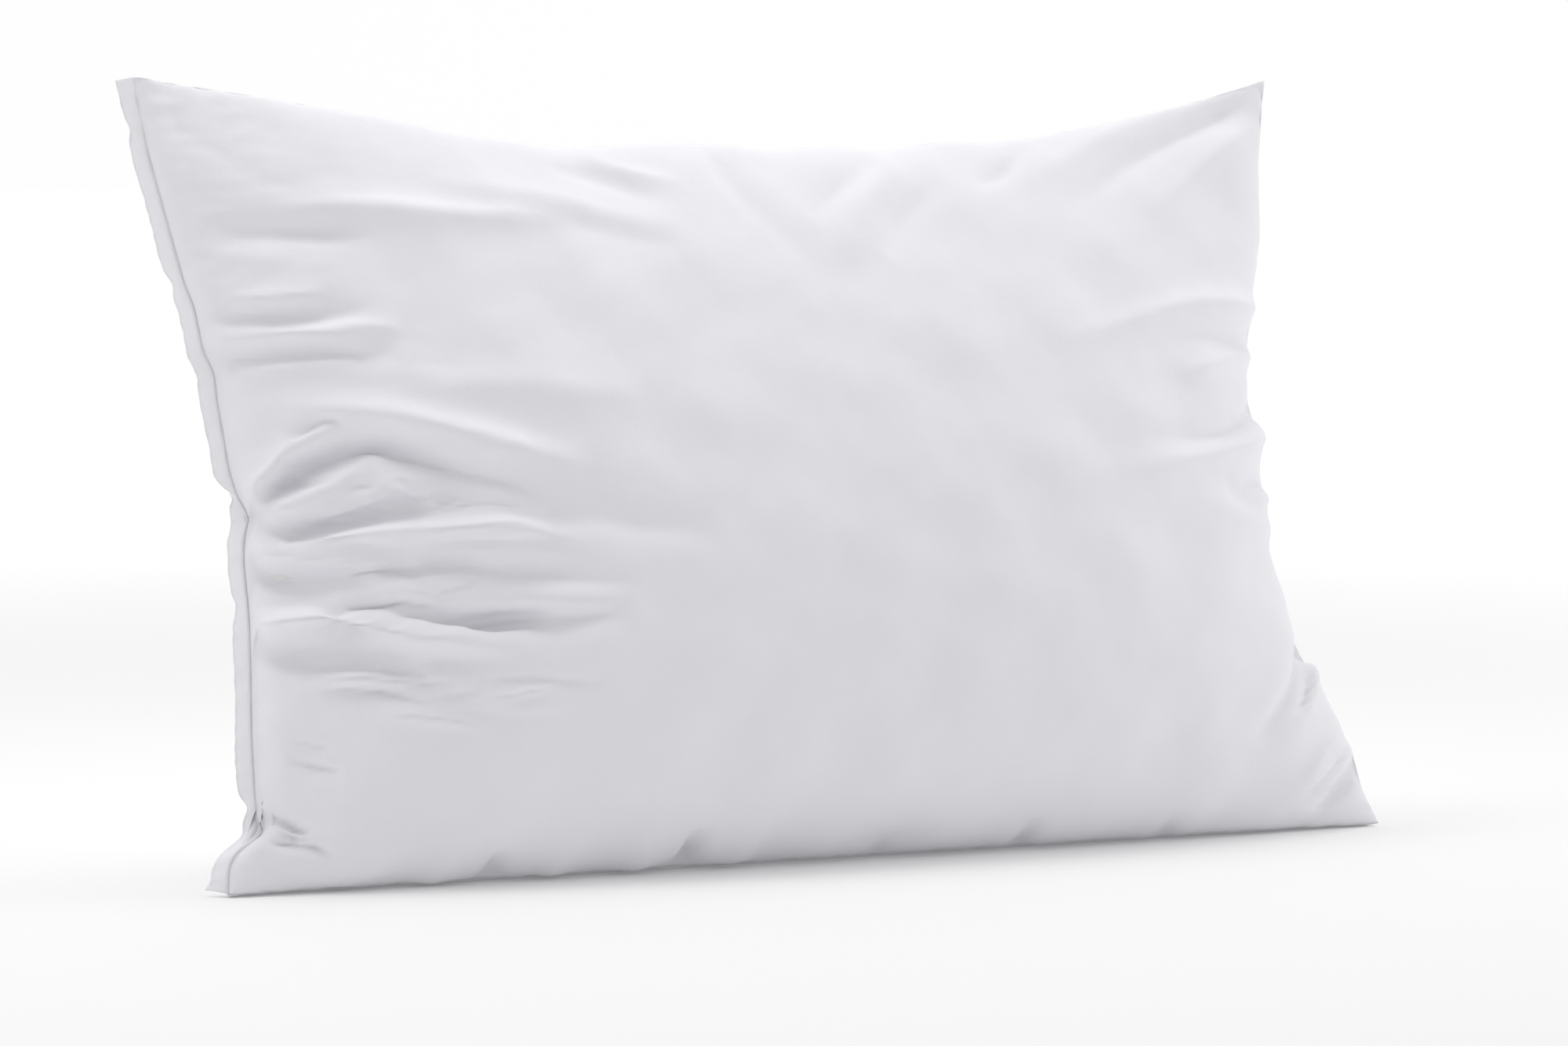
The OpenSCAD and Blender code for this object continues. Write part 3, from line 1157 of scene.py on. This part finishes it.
@dataclass
class Panel:
    """One ticking panel, parted from the settled casing."""

    side: Side
    casing: Casing
    hem: Hem
    thickness: float = 0.0006

    @property
    def name(self) -> str:
        """The panel's name."""
        return f"{self.side.name.lower()}_ticking"

    def build(self, shell: bpy.types.Object) -> bpy.types.Object:
        """Parts the panel from the shell, and gives it its hem and thickness.

        Args:
            shell: The settled casing.

        Returns:
            The panel.
        """
        bm = bmesh.new()
        bm.from_mesh(shell.data)
        keep = 0 if self.side is Side.FRONT else 1
        others = [f for f in bm.faces if f.material_index != keep]
        bmesh.ops.delete(bm, geom=others, context="FACES")
        for f in bm.faces:
            f.material_index = 0
        bm.verts.layers.float.new("hem")
        self.hem.extend(bm, self.side, self.casing.stance)
        bmesh.ops.recalc_face_normals(bm, faces=bm.faces[:])
        self.turn_out(bm)
        self.lay_cut(bm)
        mesh = bpy.data.meshes.new(self.name)
        bm.to_mesh(mesh)
        bm.free()
        panel = link(self.name, mesh)
        smooth(panel)
        wall = panel.modifiers.new("thickness", "SOLIDIFY")
        wall.thickness = self.thickness
        wall.offset = -1
        return panel

    def turn_out(self, bm: bmesh.types.BMesh) -> None:
        """Makes sure that the faces look away from the filling."""
        total = sum((f.normal * f.calc_area() for f in bm.faces), Vector())
        if total.y * self.side.value > 0:
            bmesh.ops.reverse_faces(bm, faces=bm.faces[:])

    def lay_cut(self, bm: bmesh.types.BMesh) -> None:
        """Writes each corner's place on the flat cut, in metres, as the UV map."""
        layers = [bm.verts.layers.float[n] for n in ("s", "t", "hem")]
        cut = bm.loops.layers.uv.new("cut")
        for f in bm.faces:
            for corner in f.loops:
                s, t, hem = (corner.vert[layer] for layer in layers)
                x = s * self.casing.wide / 2 - hem * self.hem.width
                corner[cut].uv = (x, t * self.casing.high / 2)

    def dress(self, panel: bpy.types.Object, cloth: bpy.types.Material, cad: object) -> None:
        """Gives the panel its cloth, hangs it on the root body and hides the frame's panel.

        Args:
            panel: The panel.
            cloth: The cloth's material.
            cad: The filling that it is stretched on. Not used.
        """
        panel.data.materials.clear()
        panel.data.materials.append(cloth)
        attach(panel, "root")
        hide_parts(f"{self.side.name.lower()}_panel")


@dataclass
class Filling:
    """The fibre filling, just inside the casing."""

    clearance: float = 0.0055
    end_clearance: float = 0.012
    inset: float = 3.0
    edge_cells: float = 5.0
    pinches: tuple = ((-0.335, 0.042, 0.055, 0.024), (0.335, 0.035, 0.050, -0.016))

    def build(self, shell: bpy.types.Object, nets: dict[Side, np.ndarray]) -> bpy.types.Object:
        """Makes the filling with the casing's net, drawn back from the cloth and the seams.

        Args:
            shell: The settled casing.
            nets: The vertex numbers of the panels' nets.

        Returns:
            The filling.
        """
        mesh = shell.data.copy()
        mesh.name = "filling"
        points = get_points(shell.data)
        front, back = (self.drawn_in(points[nets[side]]) for side in Side)
        middle, half = (front + back) / 2, (front - back) / 2
        thick = np.linalg.norm(half, axis=-1, keepdims=True)
        inside = (np.minimum(np.arange(n), n - 1 - np.arange(n)) for n in thick.shape[:2])
        cells = np.minimum.outer(*inside)
        rim = np.sqrt(np.clip(cells / self.edge_cells, 0, 1))[..., None]
        x, z = middle[..., :1], middle[..., 2:]
        from_end = np.minimum(x - x.min(), x.max() - x)
        clear = self.clearance + self.end_clearance * np.exp(-((from_end / 0.16) ** 2))
        share = np.clip(1 - clear / np.maximum(thick, 1e-6), 0.1, 1) * rim
        for at, up, wide, back in self.pinches:
            pinched = np.exp(-((x - at) ** 2 + (z - up) ** 2) / wide**2)
            share = share * (1 - 0.9 * pinched)
            middle[..., :1] += back * pinched
        for side, sign in ((Side.FRONT, 1), (Side.BACK, -1)):
            points[nets[side]] = middle + half * share * sign
        points[:, 2] = np.maximum(points[:, 2], self.clearance)
        set_points(mesh, points)
        filling = link("filling", mesh)
        smooth(filling)
        return filling

    def drawn_in(self, rows: np.ndarray) -> np.ndarray:
        """A panel's net squeezed inward, so that it ends some cells before the seams."""
        high, long = rows.shape[:2]
        rows = resample(rows, np.linspace(self.inset, high - 1 - self.inset, high))
        columns = np.linspace(self.inset, long - 1 - self.inset, long)
        return resample(rows.swapaxes(0, 1), columns).swapaxes(0, 1)

    def dress(self, filling: bpy.types.Object, fibre: bpy.types.Material) -> None:
        """Gives the filling its fibre, hangs it on the root body and hides the frame's filling."""
        filling.data.materials.clear()
        filling.data.materials.append(fibre)
        filling.data.polygons.foreach_set("material_index", [0] * len(filling.data.polygons))
        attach(filling, "root")
        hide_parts("fibre_fill")


@dataclass
class SeamLine:
    """A stretch of the casing's border, that is read by distance along it."""

    points: np.ndarray

    def __post_init__(self) -> None:
        """Measures the run."""
        steps = np.linalg.norm(np.diff(self.points, axis=0), axis=1)
        self.run = np.concatenate([[0], np.cumsum(steps)])

    @property
    def length(self) -> float:
        """The length of the stretch."""
        return float(self.run[-1])

    def at(self, where: np.ndarray) -> np.ndarray:
        """Points at distances along the stretch."""
        return np.stack([np.interp(where, self.run, self.points[:, k]) for k in range(3)], -1)


def thread_piece(name: str, points: np.ndarray, thick: float) -> bpy.types.Object:
    """Makes a round thread along a path, as a mesh.

    Args:
        name: The piece's name.
        points: The path.
        thick: The thread's diameter.

    Returns:
        The thread.
    """
    curve = bpy.data.curves.new(name, "CURVE")
    curve.dimensions = "3D"
    curve.bevel_depth = thick / 2
    curve.bevel_resolution = 1
    curve.use_fill_caps = True
    spline = curve.splines.new("POLY")
    spline.points.add(len(points) - 1)
    lying = np.c_[points[:, :2], np.maximum(points[:, 2], thick / 2), np.ones(len(points))]
    spline.points.foreach_set("co", lying.ravel())
    piece = bpy.data.objects.new(name, curve)
    bpy.context.scene.collection.objects.link(piece)
    mesh = applied(piece)
    bpy.data.objects.remove(piece)
    piece = link(name, mesh)
    smooth(piece)
    return piece


@dataclass
class LockStitch:
    """The closing seam: a needle thread on the front and a bobbin thread on the back."""

    stance: Stance
    stitch: float = 0.0042
    thread: float = 0.00032
    lift: float = 0.0001
    outward: float = 0.0006
    profile: tuple = ((0.02, 0.1), (0.14, 0.8), (0.42, 1.0), (0.7, 0.8), (0.84, 0.1))

    def build(self, line: SeamLine, side: Side, name: str) -> bpy.types.Object:
        """Sews one thread along the stitch line.

        Args:
            line: The stitch line.
            side: The face that the thread lies on.
            name: The thread's name.

        Returns:
            The thread.
        """
        out = self.stance.out
        count = int(line.length / self.stitch) - 2
        path = []
        for k in range(count):
            start = (k + 1) * self.stitch
            for share, height in self.profile:
                point = line.at(np.array([start + share * self.stitch]))[0]
                point = point + out * side.value * (height * self.lift)
                path.append(point - np.array([self.outward, 0, 0]))
        return thread_piece(name, np.array(path), self.thread)


@dataclass
class Overlock:
    """The hidden overlock seam round the other three sides."""

    stance: Stance
    needle_inset: float = 0.0035
    edge_inset: float = 0.0085
    loop: float = 0.006
    end_gap: float = 0.034
    corner_reach: float = 0.024
    corner_depth: float = 0.9
    thread: float = 0.0004

    def corners(self, line: SeamLine) -> list[np.ndarray]:
        """The casing's four corners, on the seam line."""
        x, z = line.points[:, 0], line.points[:, 2]
        return [line.points[np.argmax(a * x + b * z)] for a in (-1, 1) for b in (-1.6, 1.6)]

    def wave(self, line: SeamLine, inward: SeamLine, name: str, lift: float) -> bpy.types.Object:
        """Makes a thread that waves between the needle line and the raw edge.

        Args:
            line: The seam line.
            inward: The line inside the casing beside it.
            name: The thread's name.
            lift: Its distance from the seam plane.

        Returns:
            The thread.
        """
        out = self.stance.out
        loops = int(line.length / self.loop)
        where = np.linspace(self.end_gap, line.length - self.end_gap, 4 * loops + 1)
        turn = 0.5 - 0.5 * np.cos(np.arange(len(where)) * np.pi / 2)
        if lift == 0.0:
            turn = np.zeros_like(turn)
        inset = self.needle_inset + turn * (self.edge_inset - self.needle_inset)
        start = line.at(where)
        away = np.min([np.linalg.norm(start - c, axis=1) for c in self.corners(line)], axis=0)
        corner = np.exp(-((away / self.corner_reach) ** 2))
        end = np.stack([np.interp(where, line.run, inward.points[:, k]) for k in range(3)], -1)
        reach = np.linalg.norm(end - start, axis=1)
        share = np.minimum(inset / reach, self.corner_depth)
        share = share * (1 - corner) + self.corner_depth * corner
        points = start + (end - start) * share[:, None]
        points += out * (lift * (1 - 0.7 * corner))[:, None]
        return thread_piece(name, points, self.thread)


@dataclass
class Studio:
    """A white studio: pale floor, white surroundings and large soft lights."""

    floor_size: float = 60.0
    middle_light: float = 0.71
    right_gain: float = 0.16
    back_gain: float = 0.24
    lamp_size: float = 1.2
    lamps: tuple[tuple[str, tuple, float], ...] = (
        ("key", (-0.25, 0.30, 2.3), 17.5),
        ("right", (2.4, -0.4, 1.1), 11.0),
        ("left", (-2.4, 0.3, 1.1), 6.5),
    )
    aim: tuple = (0, 0, 0.2)

    def build(self) -> None:
        """Lays the floor, hangs the lights and sets the surroundings."""
        bm = bmesh.new()
        bmesh.ops.create_grid(bm, x_segments=1, y_segments=1, size=self.floor_size / 2)
        mesh = bpy.data.meshes.new("floor")
        bm.to_mesh(mesh)
        bm.free()
        floor = link("floor", mesh)
        floor.data.materials.append(PaleFloorPaintedGlow().material())
        bpy.context.scene.world = self.surround()
        bpy.context.scene.view_settings.view_transform = "Standard"
        for name, place, power in self.lamps:
            self.lamp(name, place, power)

    def surround(self) -> bpy.types.World:
        """Builds white surroundings that are a little brighter behind than in front."""
        world = bpy.data.worlds.new("studio")
        world.use_nodes = True
        tree = world.node_tree
        place = tree.nodes.new("ShaderNodeTexCoord")
        parts = tree.nodes.new("ShaderNodeSeparateXYZ")
        tree.links.new(place.outputs["Generated"], parts.inputs[0])
        level = self.middle_light
        for axis, change in zip("XY", (self.right_gain, self.back_gain)):
            step = tree.nodes.new("ShaderNodeMath")
            step.operation = "MULTIPLY_ADD"
            tree.links.new(parts.outputs[axis], step.inputs[0])
            step.inputs[1].default_value = change
            if isinstance(level, float):
                step.inputs[2].default_value = level
            else:
                tree.links.new(level, step.inputs[2])
            level = step.outputs[0]
        tree.links.new(level, tree.nodes["Background"].inputs["Strength"])
        tree.nodes["Background"].inputs["Color"].default_value = (1, 1, 1, 1)
        return world

    def lamp(self, name: str, place: tuple, power: float) -> None:
        """Hangs one square soft light that faces the pillow.

        Args:
            name: The light's name.
            place: Where it hangs.
            power: Its power in watts.
        """
        light = bpy.data.lights.new(name, "AREA")
        light.size = self.lamp_size
        light.energy = power
        lamp = bpy.data.objects.new(name, light)
        lamp.location = place
        aim = Vector(self.aim) - Vector(place)
        lamp.rotation_euler = aim.to_track_quat("-Z", "Y").to_euler()
        bpy.context.scene.collection.objects.link(lamp)


@dataclass
class Viewpoint:
    """A camera at a direction and distance from a point of the pillow."""

    azimuth: float = -28.0
    elevation: float = 3.69
    distance: float = 3.43
    target: tuple = (-0.025, -0.0485, 0.186)
    lens: float = 144.8

    def build(self) -> None:
        """Places the camera and makes it the scene's."""
        camera = bpy.data.cameras.new("camera")
        camera.lens = self.lens
        camera.clip_start = 0.01
        holder = bpy.data.objects.new("camera", camera)
        turn, rise = math.radians(self.azimuth), math.radians(self.elevation)
        away = Vector(
            (
                math.sin(turn) * math.cos(rise),
                -math.cos(turn) * math.cos(rise),
                math.sin(rise),
            )
        )
        holder.location = Vector(self.target) + away * self.distance
        holder.rotation_euler = (-away).to_track_quat("-Z", "Y").to_euler()
        bpy.context.scene.collection.objects.link(holder)
        bpy.context.scene.camera = holder


@dataclass
class Pillow:
    """The whole pillow."""

    stance: Stance = field(default_factory=lambda: Stance(seam_y=-0.0485, seam_z=0.002))
    outline: Outline = field(
        default_factory=lambda: Outline(left=-0.353, right=0.3612, height=0.4436)
    )
    hem: Hem = field(default_factory=Hem)
    lumps: tuple[Wrinkles, ...] = (Wrinkles(0.060, 0.0014, 14, 3), Wrinkles(0.030, 0.0003, 14, 9))
    ripples: Wrinkles = Wrinkles(0.010, 0.0004, 14, 5)
    pucker: Wrinkles = Wrinkles(0.015, 0.0005, 12, 8)
    lumps_inset: float = 0.10
    ripples_inset: float = 0.02
    ripples_reach: float = 0.07
    pucker_inset: float = 0.008
    pucker_reach: float = 0.008

    def casing(self, **net: float) -> Casing:
        """The casing, before it is settled, with the fineness of its net."""
        return Casing(
            stance=self.stance,
            outline=self.outline,
            front=Fullness(depth=0.084, rise=0.45, taper=0.72, end_rise=0.74, left_rise=0.76),
            back=Fullness(depth=0.112, rise=0.20, taper=0.80),
            **net,
        )

    def settle(self) -> tuple[bpy.types.Object, Casing]:
        """Settles the casing's cloth on the filling, and adds its small creases.

        Returns:
            The settled shell and its casing.
        """
        coarse = self.casing()
        rough = coarse.net("rough_shell")
        points = coarse.shape()
        set_points(rough.data, points)
        folds = left_end_folds() + top_edge_folds() + right_end_folds() + bottom_edge_folds()
        points = points + coarse.fold_lift(folds, points, normals_of(rough.data))
        set_points(rough.data, points)
        points = ClothOnFilling(coarse).run(points, normals_of(rough.data))
        bpy.data.objects.remove(rough)
        fine = self.casing(cells_long=220, cells_high=208, crowding=0.16)
        shell = fine.net("shell")
        fine.wide, fine.high = coarse.wide, coarse.high
        points = self.crease(shell, fine, fine.refine(coarse, points))
        LOG.info("shell: %d points, lowest %.4f", len(points), points[:, 2].min())
        return shell, fine

    def crease(self, shell: bpy.types.Object, casing: Casing, points: np.ndarray) -> np.ndarray:
        """Adds what is smaller than the folds: creases, soft lumps of filling and wrinkles.

        Args:
            shell: The shell.
            casing: Its casing.
            points: Its settled points.

        Returns:
            The finished points.
        """
        set_points(shell.data, points)
        normals = normals_of(shell.data)
        creases = left_end_creases() + right_end_creases() + crinkles(34, 11)
        lift = casing.fold_lift(creases, points, normals)
        x, z = points[:, 0], points[:, 2]
        inward = 1 - np.maximum(np.abs(casing.s), np.abs(casing.t))
        lumps = sum(lump.over(x, z) for lump in self.lumps)
        lumps = lumps * np.clip(inward / self.lumps_inset, 0, 1)
        left = np.exp(-(casing.s + 1) * casing.wide / 2 / self.ripples_reach)
        left *= np.clip(inward / self.ripples_inset, 0, 1)
        ripples = self.ripples.over(x * 0.35, z) * left
        near = np.exp(-inward * casing.high / 2 / self.pucker_reach)
        near *= np.clip(inward / self.pucker_inset, 0, 1)
        along = np.where(np.abs(casing.s) > np.abs(casing.t), z, x)
        pucker = self.pucker.over(along, along * 0) * near
        net = casing.grids()[Side.FRONT]
        points = points + lift + normals * (lumps + ripples + pucker)[:, None]
        points[net] = self.run_in(points[net])
        points[:, 2] = np.maximum(points[:, 2], 0)
        set_points(shell.data, points)
        return points

    def run_in(self, rows: np.ndarray, reach: float = 0.019) -> np.ndarray:
        """Lets the front panel run smoothly into the closed hem.

        Args:
            rows: The front panel's points, as rows of its net.
            reach: How far from the stitch line the panel is drawn to the hem's slope.

        Returns:
            The changed points.
        """
        x, y, z = rows[:, 0].T
        up = rows[..., 2]
        z = np.maximum.accumulate(z)
        seam = np.stack([np.interp(up, z, x), np.interp(up, z, y), up], -1)
        away = np.linalg.norm(rows - seam, axis=-1, keepdims=True)
        way = self.hem.way(up, self.stance)
        share = np.clip(1 - away / reach, 0, 1) ** 1.5
        return rows + share * (seam - way * away - rows)

    def seam(self, shell: bpy.types.Object, nets: dict[Side, np.ndarray]) -> dict[str, SeamLine]:
        """Reads the settled seam line, and a line inside the casing along it.

        Args:
            shell: The settled shell.
            nets: The vertex numbers of the panels' nets.

        Returns:
            The closing seam, the overlocked seam round the other sides, and its inner line.
        """
        points = get_points(shell.data)
        last = [n - 1 for n in nets[Side.FRONT].shape]

        def line(inset: int) -> np.ndarray:
            """The middle between the panels, some cells inside the overlocked seam."""
            across = np.arange(last[1] + 1)
            upward = np.arange(last[0] + 1)
            top = [(last[0] - inset, i) for i in across[:-1]]
            right = [(j, last[1] - inset) for j in upward[::-1][:-1]]
            bottom = [(inset, i) for i in across[::-1]]
            j, i = np.array(top + right + bottom).T
            j = np.clip(j, inset, last[0] - inset)
            i = np.clip(i, inset, last[1] - inset)
            return (points[nets[Side.FRONT][j, i]] + points[nets[Side.BACK][j, i]]) / 2

        return {
            "closing": SeamLine(points[nets[Side.FRONT][:, 0]]),
            "round": SeamLine(line(0)),
            "inward": SeamLine(line(4)),
        }

    def build(self) -> None:
        """Builds and dresses every piece."""
        shell, casing = self.settle()
        seams = self.seam(shell, casing.grids())
        percale, thread, fibre = (f.material() for f in (Percale(), SpunThread(), HollowFibre()))
        filling = Filling()
        stuffing = filling.build(shell, casing.grids())
        filling.dress(stuffing, fibre)
        LOG.info("filling: %d faces", len(stuffing.data.polygons))
        for side in Side:
            panel = Panel(side, casing, self.hem)
            piece = panel.build(shell)
            panel.dress(piece, percale, stuffing)
            LOG.info("%s: %d faces", piece.name, len(piece.data.polygons))
        stitch = LockStitch(self.stance)
        for side, name in ((Side.FRONT, "closing_needle"), (Side.BACK, "closing_bobbin")):
            piece = stitch.build(seams["closing"], side, name)
            self.dress_thread(piece, thread, f"{name}_thread")
        lock = Overlock(self.stance)
        for name, node, lift in (
            ("overlock_needle", "overlock_needle_thread", 0.0),
            ("overlock_upper", "overlock_upper_looper", 0.0008),
            ("overlock_lower", "overlock_lower_looper", -0.0008),
        ):
            self.dress_thread(lock.wave(seams["round"], seams["inward"], name, lift), thread, node)
        bpy.data.objects.remove(shell)

    def dress_thread(self, piece: bpy.types.Object, finish: bpy.types.Material, node: str) -> None:
        """Gives a thread its finish, hangs it on the root body and hides the frame's node."""
        piece.data.materials.clear()
        piece.data.materials.append(finish)
        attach(piece, "root")
        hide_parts(node)
        LOG.info("%s: %d faces", piece.name, len(piece.data.polygons))


def main() -> None:
    """Builds the scene."""
    logging.basicConfig(level=logging.INFO, format="%(name)s: %(message)s")
    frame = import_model()
    Pillow().build()
    Studio().build()
    Viewpoint().build()
    bpy.context.view_layer.update()
    LOG.info("nodes in the frame: %d", len(frame["nodes"]))


if __name__ == "__main__":
    main()
